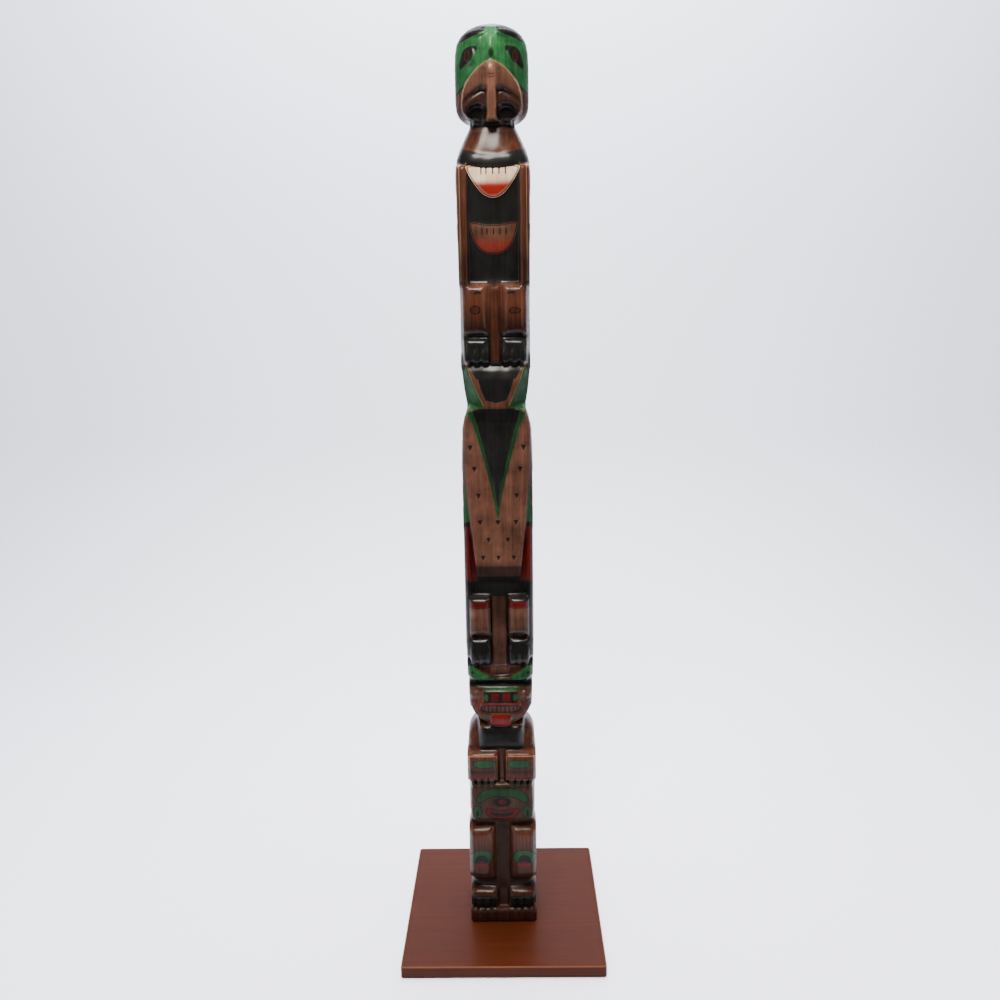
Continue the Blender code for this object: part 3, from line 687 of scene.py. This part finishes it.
# The eagle's collar and neck: a glossy dark roll round the shoulders, then the bare neck drawn
# in as a smooth cone under the head.
collar_low = 1495 + 8 * (x / 53) ** 2
collar_high = 1520 + 11 * (x / 54) ** 2
collar = np.minimum(z - collar_low, collar_high - z)
out = out * (1 + 0.012 * smooth(collar, 9) * (z > 1480))
fore = fore + facing * (1.6 * smooth(collar - 2, 12) - smooth(1.8 - np.abs(collar), 3.4))
colour_in("black", np.minimum(collar, 1560 - z), wrap=ALL_ROUND)
# Painted shade round the top of the neck, under the head.
stain_and_painted_light(between(z, 1532, 1582), -0.1, wrap=ALL_ROUND, soft=10)
stain_and_painted_light(between(z, 1560, 1592), -0.8, wrap=ALL_ROUND, soft=24)

# The eagle's head: a round green crown under black brows and almond eyes, with the big hooked
# beak standing forward, its lip line cut in and the corners of the mouth hollowed.


def plane(signed, stand, soft=3.0):
    """Wood cut back inside an outline to a given distance from the axis."""
    global fore
    m = smooth(signed, soft) * (deep > 0.35)
    fore = fore + m * (np.minimum(fore, stand) - fore)


# Height, then how far across and how far forward the beak's edge lies, and the same of its ridge.
BEAK = [(1677, 4, 56, 2, 60), (1672, 14, 57, 4, 63), (1666, 23, 58, 5, 65), (1655, 35, 59, 6, 67),
        (1640, 47, 57, 6, 68), (1624, 53, 55, 6, 68.5), (1604, 55, 54, 7, 68.5), (1592, 53, 51, 7, 68.5),
        (1583, 47, 49, 8, 67.5), (1576, 34, 45, 9, 66), (1574, 28, 44, 9, 60)]
crest = table([(1674, 0), (1684, 3), (1727, 3), (1742, 0)])
fore = fore + crest * np.clip(1 - ax / 16, 0, 1) * facing
edge_x, edge_y, ridge_x, ridge_y = [table(BEAK, k) for k in range(1, 5)]
fall = np.clip((ax - ridge_x) / np.maximum(edge_x - ridge_x, 1), 0, 1)
beak_run = ridge_y + (edge_y - ridge_y) * (0.75 * fall + 0.25 * fall ** 2)
beak = np.minimum(edge_x - ax, between(z, 1575, 1678))
fore = fore + smooth(beak, 3.4) * (np.maximum(fore, beak_run) - fore) * ahead
fore = fore + 1.6 * bulge(0, 1661, 8, 13) * ahead
gape = outline([(9, 1627), (18, 1630), (38, 1619), (60, 1603), (66, 1560), (9, 1560)], rounds=0)
groove = stroke([(9, 1627), (18, 1629), (37, 1619), (53, 1606)], 7)
plane(np.minimum(gape, edge_x - ax + 2), 58.5 - 0.06 * np.maximum(1612 - z, 0), soft=3)
sink(groove, 3.2, soft=4)
mouth_corner = outline([(12, 1590), (12, 1574), (44, 1574), (44, 1588)], rounds=1)
sink(np.minimum(np.maximum(oval(26, 1589, 17, 15), mouth_corner), 9), 12, soft=8)
nares = outline([(8, 1657), (9, 1663), (15, 1666), (19, 1661), (15, 1657)])
fore = fore + 2.6 * bulge(42, 1686, 14, 18) * ahead
fore = fore + 4.5 * bulge(27, 1726, 21, 8) * ahead
for tick in (57, 61.5):
    sink(stroke([(tick, 1622), (tick - 1, 1594)], 2.4), 1.4, soft=2.6)

colour_in("green", between(z, 1583, 1752), wrap=ALL_ROUND)
# Painted highlight down the middle of the crown, and painted shade on the sides of the head.
stain_and_painted_light(np.minimum(14 - ax, between(z, 1684, 1728)), 0.35, soft=16)
stain_and_painted_light(np.minimum(ax - 34, between(z, 1590, 1740)), -0.3, soft=24, wrap=ALL_ROUND)
face_low = np.minimum(1636 - 9 * (ax - 52) / 13, 1638)
colour_in("rust", np.minimum(face_low - z, z - 1560), wrap=ALL_ROUND)
stain_and_painted_light(np.minimum(np.minimum(face_low - z, z - 1560), ax - 52), -0.45, wrap=ALL_ROUND)
colour_in("black", np.minimum(stroke([(50, 1637.5), (66, 1626.5), (74, 1624)], 2.6), ax - 49), wrap=ALL_ROUND)
colour_in("rust", np.minimum(beak, 1677 - z))
stain_and_painted_light(np.minimum(beak, z - 1618), -0.06, soft=16)
draw("pale_edge", np.minimum(np.minimum(edge_x - 1.5 - ax, 1675.5 - z), 30 * (z - 1580)))
stain_and_painted_light(np.minimum(gape, beak), -0.75, soft=6)
stain_and_painted_light(np.minimum(groove + 0.8, beak - 5), -0.8, soft=3)
# Painted shade: the mouth hollows, the gullet and a band under the beak are painted black.
mouth_dark = np.maximum(oval(26, 1588, 15, 13), np.minimum(between(ax, 11, 42), 1586 - z))
colour_in("black", np.minimum(mouth_dark, beak + 4))
colour_in("black", np.minimum(between(z, 1568, 1577), 34 - ax))
gullet = outline([(10, 1602), (24, 1606), (40, 1600), (50, 1588), (50, 1572), (10, 1572)])
colour_in("black", np.minimum(gullet, beak - 3))
# The ridge of the beak is lighter, a painted highlight.
colour_in("rust", np.minimum(8.5 - ax, between(z, 1574, 1660)))
stain_and_painted_light(np.minimum(8.5 - ax, between(z, 1576, 1675)), 0.55, soft=5)
stain_and_painted_light(nares, -0.45, soft=3)
for tick in (1640, 1646, 1652):
    colour_in("black", stroke([(-4, tick), (4, tick)], 1.5, u=x))
socket = outline([
    (24, 1699), (34, 1701), (46, 1699), (53, 1689), (57, 1666), (48, 1673), (38, 1677), (34, 1689),
], rounds=1)
colour_in("black", socket)
stain_and_painted_light(socket, -0.2, soft=3)
iris = oval(43, 1686, 5.4, 10)
colour_in("rust", iris)
stain_and_painted_light(iris, -0.95, soft=3)
draw("dark_edge", socket + 1)
dull(np.minimum(ax - 48, between(z, 1572, 1720)), 0.9, soft=5)
dull(np.minimum(ax - 16, z - 1722), 0.85, soft=12)
brow = outline([(9, 1729), (20, 1722), (42, 1717), (56, 1712), (66, 1722), (66, 1760), (9, 1760)], rounds=1)
colour_in("black", brow)
colour_in("black", z - 1741)
stain_and_painted_light(oval(0, 1688, 5, 7), -1.0, soft=5)

# The folded wings, arms and thighs round the sides, and the back: the same forms carried on in
# shallower relief with plainer paint, and the back only rounded over and left with gouge marks.
side = (np.abs(wide) > EDGE + 1e-6) & (np.abs(wide) <= 1)
sign = np.sign(wide)


def side_form(points, rise, tint=None, tone_to=None, soft=5.0):
    """Low relief on both sides from an outline in y and z, raised or, if negative, cut in."""
    global out
    signed = np.where(side, outline(points, u=y), -40)
    out = out + sign * smooth(signed, soft) * rise
    if tint:
        colour_in(tint, signed, ALL_ROUND)
    if tone_to is not None:
        stain_and_painted_light(signed, tone_to, wrap=ALL_ROUND)
    return signed


def side_cut(points, width=4.2, amount=1.6, tint="black"):
    """A knife line on both sides along points in y and z."""
    global out
    signed = np.where(side, stroke(points, width, u=y), -40)
    out = out - sign * smooth(signed, 4.0) * amount
    colour_in(tint, signed - 0.9, ALL_ROUND)


# Foot and height of the eagle's wing and of the raven's.
for base, tall in ((1164, 354), (552, 474)):

    def up(share):
        """Height at a share of the way up the wing."""
        return base + tall * share

    wing = [(-60, up(0.97)), (-30, up(1.0)), (10, up(0.98)), (34, up(0.92)), (44, up(0.8)), (42, up(0.5)),
            (34, up(0.22)), (16, up(0.03)), (-4, up(0.0)), (-22, up(0.04)), (-40, up(0.1)), (-60, up(0.12))]
    edge = side_form(wing, 0.9, "rust")
    colour_in("black", 1.6 - np.abs(edge - 1), ALL_ROUND)
    for lane, low in ((-34, 0.10), (-12, 0.05), (10, 0.07), (28, 0.2)):
        side_cut([(lane, up(low)), (lane, up(0.56))])
    for share, shift in ((0.58, 0), (0.68, 9)):
        for lane in (-34, -12, 10, 30):
            scale_form = [(lane - 9 + shift, up(share + 0.09)), (lane + 9 + shift, up(share + 0.09)),
                          (lane + 9 + shift, up(share + 0.02)), (lane + shift, up(share - 0.01)),
                          (lane - 9 + shift, up(share + 0.02))]
            form_edge = side_form(scale_form, 0.5, "green" if share < 0.6 else "red")
            colour_in("black", 1.5 - np.abs(form_edge), ALL_ROUND)
    joint = side_form([
        (-42, up(0.82)), (-34, up(0.94)), (10, up(0.95)), (30, up(0.88)), (30, up(0.82)), (0, up(0.79)),
    ], 0.9, "black")
    colour_in("green", joint - 5, ALL_ROUND)
    colour_in("black", joint - 10, ALL_ROUND)
arm_side = side_form([
    (-70, 350), (-10, 360), (30, 352), (40, 330), (26, 302), (-10, 292), (-70, 294),
], 0.9, "rust")
colour_in("black", 1.6 - np.abs(arm_side), ALL_ROUND)
thigh = side_form([(-70, 182), (-20, 190), (24, 176), (40, 140), (36, 96), (10, 76), (-70, 72)], 0.9, "rust")
colour_in("black", 1.6 - np.abs(thigh), ALL_ROUND)
knee_joint = side_form([(-30, 118), (-26, 158), (6, 164), (26, 146), (22, 116), (-6, 108)], 0.5, "green")
colour_in("black", 1.6 - np.abs(knee_joint), ALL_ROUND)
colour_in("rust", knee_joint - 7, ALL_ROUND)
ear = side_form([(-40, 512), (-40, 546), (-22, 560), (0, 552), (8, 524), (-12, 508)], 0.8, "rust")
colour_in("black", 1.6 - np.abs(ear), ALL_ROUND)

behind = deep < -0.3
facets = 0.7 * np.sin(x / 9.5 + 1.7 * np.sin(z / 37)) * np.sin(z / 21 + 1.3 * np.sin(x / 13))
fore = fore + np.where(behind & (z > 2) & (z < 1735), facets * smooth(-deep - 0.3, 0.4), 0)

# The finish on the pole: thin paint and stains on bare cedar under thick glossy varnish; the proud edges are
# paler, partly rubbed wear and partly a painted highlight, the hollows get painted shade, and painted shade
# darkens the lower half most.
tone = tone - 0.3 * smooth(430 - z, 240)

# The slight waver of hand carving, and how wide and deep the log lets any form stand.
WIDEST, DEEPEST = 70.6, 68.9
wobble = 0.35 * np.sin(x / 7 + z / 23) * np.sin(z / 9.1 - x / 17)
fore = fore + np.where(ahead & (z > 1) & (z < 1740), wobble * np.clip(deep * 3, 0, 1), 0)


def blurred(field, across, along):
    """The field averaged again and again with its neighbours, so many times each way."""
    for _ in range(across):
        field = (np.roll(field, 1, 1) + 2 * field + np.roll(field, -1, 1)) / 4
    for _ in range(along):
        stretched = np.pad(field, ((1, 1), (0, 0)), mode="edge")
        field = (stretched[:-2] + 2 * field + stretched[2:]) / 4
    return field


carved = z > 0.2
fore = np.where(carved, blurred(fore, 1, 1), fore)
out = np.clip(out, -WIDEST, WIDEST)
fore = np.clip(fore, -DEEPEST, DEEPEST)
# How far the wood stands above or lies below what is round it.
relief = fore + y
proud = np.where(np.abs(wide) < EDGE + 0.001, relief - blurred(relief, 14, 4), 0)

rings = np.stack([out / 1000, -fore / 1000, FOOT_TOP + z / 1000], -1)
pole = ring_solid("carved_pole", rings)


def record(name, values):
    """Stores one number per vertex on the pole; the two closing points get that of the ring beside."""
    flat = np.concatenate([values.reshape(-1), [values[0, 0], values[-1, 0]]]).astype(np.float32)
    pole.data.attributes.new(name, "FLOAT", "POINT").data.foreach_set("value", flat)


for paint_name in PAINTS:
    record(paint_name, np.clip(paints[paint_name], -6, 6))
for line_name, signed in lines.items():
    record(line_name, np.where(deep > 0.05, np.clip(signed, -60, 60), -60))
record("tone", np.clip(tone, -1, 1))
record("flush", flush * ahead)
record("proud", proud)
record("dullness", dullness)

LINE_DARK, LINE_PALE = "#0b0806", "#9c7a55"
# The dark laid for stains and painted shade, the pale of edges that are partly rubbed and partly a painted
# highlight, and the red flush.
STAIN_AND_SHADE_DARK, RUBBED_AND_HIGHLIGHT_PALE, FLUSH_RED = "#0a0605", "#b58a55", "#741711"
WOOD_DARK, WOOD_LIGHT = "#20100a", "#4f2b1c"
# The deep and the light tint that each paint varies between, in the order they are laid on; the pale paint is
# partly a painted highlight.
TINTS = {"rust": ("#2b1912", "#5e3e31"), "pale": ("#b3906c", "#ecd3b8"), "red": ("#3f0b09", "#6f1a16"),
         "green": ("#0e2c17", "#2b6236"), "black": ("#0b0b0a", "#1b1a18")}

# Varnished cedar: warm brown with long upright grain under a wet-looking clear coat; the
# painted fields show a little of the grain and go patchy, as thin old paint does. Grain streaks
# are 5 mm wide and 110 mm long, the patches 38 mm across and the paint's ragged edge 6 mm.
cedar, tree, shader = material("varnished_painted_cedar")
place = add(tree, "ShaderNodeTexCoord").outputs["Object"]
upright = add(tree, "ShaderNodeMapping", {"Vector": place, "Scale": (1000 / 5, 1000 / 5, 1000 / 110)})
grain, patch, tooth = [
    add(tree, "ShaderNodeTexNoise", {
        "Vector": vector, "Scale": scale, "Detail": detail, "Roughness": roughness,
    }).outputs[0]
    for vector, scale, detail, roughness in (
        (upright.outputs[0], 1, 7, 0.62), (place, 1000 / 38, 4, 0.55), (place, 1000 / 6, 3, 0.5),
    )
]
stored = {
    name: add(tree, "ShaderNodeAttribute", attribute_name=name).outputs["Fac"]
    for name in PAINTS + ("dark_edge", "pale_edge", "tone", "flush", "proud", "dullness")
}
# Numbers worked out from others: the sum, then its terms. The product of the first two terms is
# added to the third, or the first taken without its sign.
patchy = add(tree, "ShaderNodeMath", {0: patch, 1: 0.55}, operation="MULTIPLY")
worked_out = {"worn": ("MULTIPLY_ADD", grain, 0.45, patchy.outputs[0])}
for name in PAINTS:
    worked_out[name] = ("MULTIPLY_ADD", tooth, 0.9, stored[name])
for name in ("dark_edge", "pale_edge"):
    worked_out[name] = ("ABSOLUTE", stored[name], 0, 0)
sums = {
    name: add(tree, "ShaderNodeMath", dict(enumerate(terms)), operation=kind).outputs[0]
    for name, (kind, *terms) in worked_out.items()
}
# Shares read off a number: the number, the two values it runs between, and what they are worth.
READINGS = {
    "wood_light": (grain, 0.25, 0.75, 0, 1),
    "tint_light": (sums["worn"], 0.3, 0.7, 0, 1),
    "dark_edge": (sums["dark_edge"], 1.0, 0.55, 0, 0.9),
    "pale_edge": (sums["pale_edge"], 1.0, 0.5, 0, 0.36),
    "lighter": (stored["tone"], 0, 1, 0, 1),
    "darker": (stored["tone"], 0, -1, 0, 0.85),
    # Painted shade in the hollows; the proud edges are paler, partly rubbed wear and partly a painted
    # highlight.
    "hollow": (stored["proud"], -0.5, -4.5, 0, 0.8),
    "proud": (stored["proud"], 1.6, 4.0, 0, 0.16),
    "speckle": (tooth, 0.4, 0.6, 0, 1),
    "varnish": (stored["dullness"], 0, 1, 0.5, 0),
}
for name in PAINTS:
    READINGS[name] = (sums[name], 0.15, 0.75, 0, 1)
shares = {
    name: add(tree, "ShaderNodeMapRange", dict(enumerate(reading))).outputs[0]
    for name, reading in READINGS.items()
}
# Paler proud edges, partly rubbed wear and partly a painted highlight, broken up by speckle.
rubbed_and_highlit = add(tree, "ShaderNodeMath", {0: shares["proud"], 1: shares["speckle"]}, operation="MULTIPLY")

# What is laid over the wood: the share that covers, the colour, where none is given the colour
# that is there already, and how the two are mixed.
layers = [(shares["wood_light"], linear(WOOD_LIGHT), "MIX")]
for name, (deep_tint, light_tint) in TINTS.items():
    if name == "red":
        layers.append((stored["flush"], linear(FLUSH_RED), "MIX"))
    tint = add(tree, "ShaderNodeMix", {
        0: shares["tint_light"], 6: linear(deep_tint), 7: linear(light_tint),
    }, data_type="RGBA")
    layers.append((shares[name], tint.outputs[2], "MIX"))
layers += [
    (shares["dark_edge"], linear(LINE_DARK), "MIX"),
    (shares["pale_edge"], linear(LINE_PALE), "MIX"),
    (shares["lighter"], None, "ADD"),
    # Stains and painted shade darken, the hollows get painted shade, and the proud edges a paler rub that is
    # partly a painted highlight.
    (shares["darker"], linear(STAIN_AND_SHADE_DARK), "MIX"),
    (shares["hollow"], linear(STAIN_AND_SHADE_DARK), "MIX"),
    (rubbed_and_highlit.outputs[0], linear(RUBBED_AND_HIGHLIGHT_PALE), "MIX"),
]
colour = linear(WOOD_DARK)
for share, over, way in layers:
    over = colour if over is None else over
    mixed = add(tree, "ShaderNodeMix", {0: share, 6: colour, 7: over}, data_type="RGBA", blend_type=way)
    colour = mixed.outputs[2]
tree.links.new(colour, shader.inputs["Base Color"])
shader.inputs["Roughness"].default_value = 0.5
shader.inputs["Specular IOR Level"].default_value = 0.03
tree.links.new(shares["varnish"], shader.inputs["Coat Weight"])
shader.inputs["Coat IOR"].default_value = 1.33
shader.inputs["Coat Roughness"].default_value = 0.22
broad = add(tree, "ShaderNodeBump", {"Height": patch, "Strength": 0.2, "Distance": 0.0016})
fine = add(tree, "ShaderNodeBump", {"Height": grain, "Strength": 0.22, "Distance": 0.0004,
                                    "Normal": broad.outputs[0]})
tree.links.new(fine.outputs[0], shader.inputs["Normal"])
tree.links.new(broad.outputs[0], shader.inputs["Coat Normal"])
pole.data.materials.append(cedar)
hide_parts("pole")
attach(pole, "root")

# The studio: a pale floor that sweeps up into a wall with a lamp of its own, one lamp above and
# in front of the pole, one at each side, and the camera at the height and pitch of the photograph.
sweep_turn = np.linspace(0, math.pi / 2, 13)
sweep_y = np.concatenate([[-0.9, 1.2], 1.2 + 0.8 * np.sin(sweep_turn), [2.0]])
sweep_z = np.concatenate([[0.0, 0.0], 0.8 * (1 - np.cos(sweep_turn)), [5.0]]) - 0.0002
sweep_points = np.stack([np.repeat([-5.0, 5.0], len(sweep_y)), np.tile(sweep_y, 2), np.tile(sweep_z, 2)], -1)
step = np.arange(len(sweep_y) - 1)
sweep_faces = np.stack([step, step + len(sweep_y), step + len(sweep_y) + 1, step + 1], -1)
sweep_mesh = bpy.data.meshes.new("studio_sweep")
sweep_mesh.from_pydata(sweep_points.tolist(), [], sweep_faces.tolist())
sweep_mesh.shade_smooth()
sweep = bpy.data.objects.new("studio_sweep", sweep_mesh)
bpy.context.scene.collection.objects.link(sweep)
paper, tree, shader = material("matt_backdrop_paper")
shader.inputs["Base Color"].default_value = linear("#f6f7fc")
shader.inputs["Roughness"].default_value = 0.9
sweep.data.materials.append(paper)

world = bpy.data.worlds.new("studio_air")
world.use_nodes = True
world.node_tree.nodes["Background"].inputs["Color"].default_value = linear("#e6e9ee")
world.node_tree.nodes["Background"].inputs["Strength"].default_value = 0.22
bpy.context.scene.world = world
# Name, place, aim, size, power, spread in degrees and tint of each lamp.
LAMPS = [
    ("overhead", (-0.25, -1.35, 3.2), (0, 0, 1.0), 0.85, 19, 70, "#fff8ee"),
    ("left_side", (-2.2, -1.4, 1.8), (0, 0, 1.1), 1.2, 20, 180, "#f2f6ff"),
    ("right_side", (2.2, -1.0, 1.6), (0, 0, 1.1), 1.2, 13, 180, "#fff2e2"),
    ("wall_wash", (0, 0.4, 4.4), (0, 1.6, 0.4), 2.6, 570, 180, "#f4f6ff"),
]
for name, spot, aim, size, power, spread, tint in LAMPS:
    lamp = bpy.data.lights.new(name, "AREA")
    lamp.shape = "DISK"
    lamp.size = size
    lamp.energy = power
    lamp.spread = math.radians(spread)
    lamp.color = linear(tint)[:3]
    holder = bpy.data.objects.new(name, lamp)
    holder.location = spot
    # The lamp on the wall is kept out of the varnish, where it would lie as a grey veil.
    holder.visible_glossy = name != "wall_wash"
    holder.rotation_euler = (Vector(aim) - Vector(spot)).to_track_quat("-Z", "Y").to_euler()
    bpy.context.scene.collection.objects.link(holder)

# Where the photograph was taken from, how the view is turned, and the lens that gives its angle.
CAMERA_PLACE = (0.0275, -1.778, 1.292)
LENS_MM, SENSOR_MM = 32.62, 36
pitch, roll, yaw = math.radians(11.579), math.radians(-0.85), math.radians(-0.765)
view = Vector((math.sin(yaw) * math.cos(pitch), math.cos(yaw) * math.cos(pitch), -math.sin(pitch)))
level_right = Vector((math.cos(yaw), -math.sin(yaw), 0))
level_up = level_right.cross(view)
right = math.cos(roll) * level_right + math.sin(roll) * level_up
up_axis = -math.sin(roll) * level_right + math.cos(roll) * level_up
lens = bpy.data.cameras.new("camera")
lens.sensor_width = SENSOR_MM
lens.lens = LENS_MM
camera = bpy.data.objects.new("camera", lens)
turned = Matrix((right, up_axis, -view)).transposed().to_4x4()
camera.matrix_world = Matrix.Translation(CAMERA_PLACE) @ turned
bpy.context.scene.collection.objects.link(camera)
bpy.context.scene.camera = camera
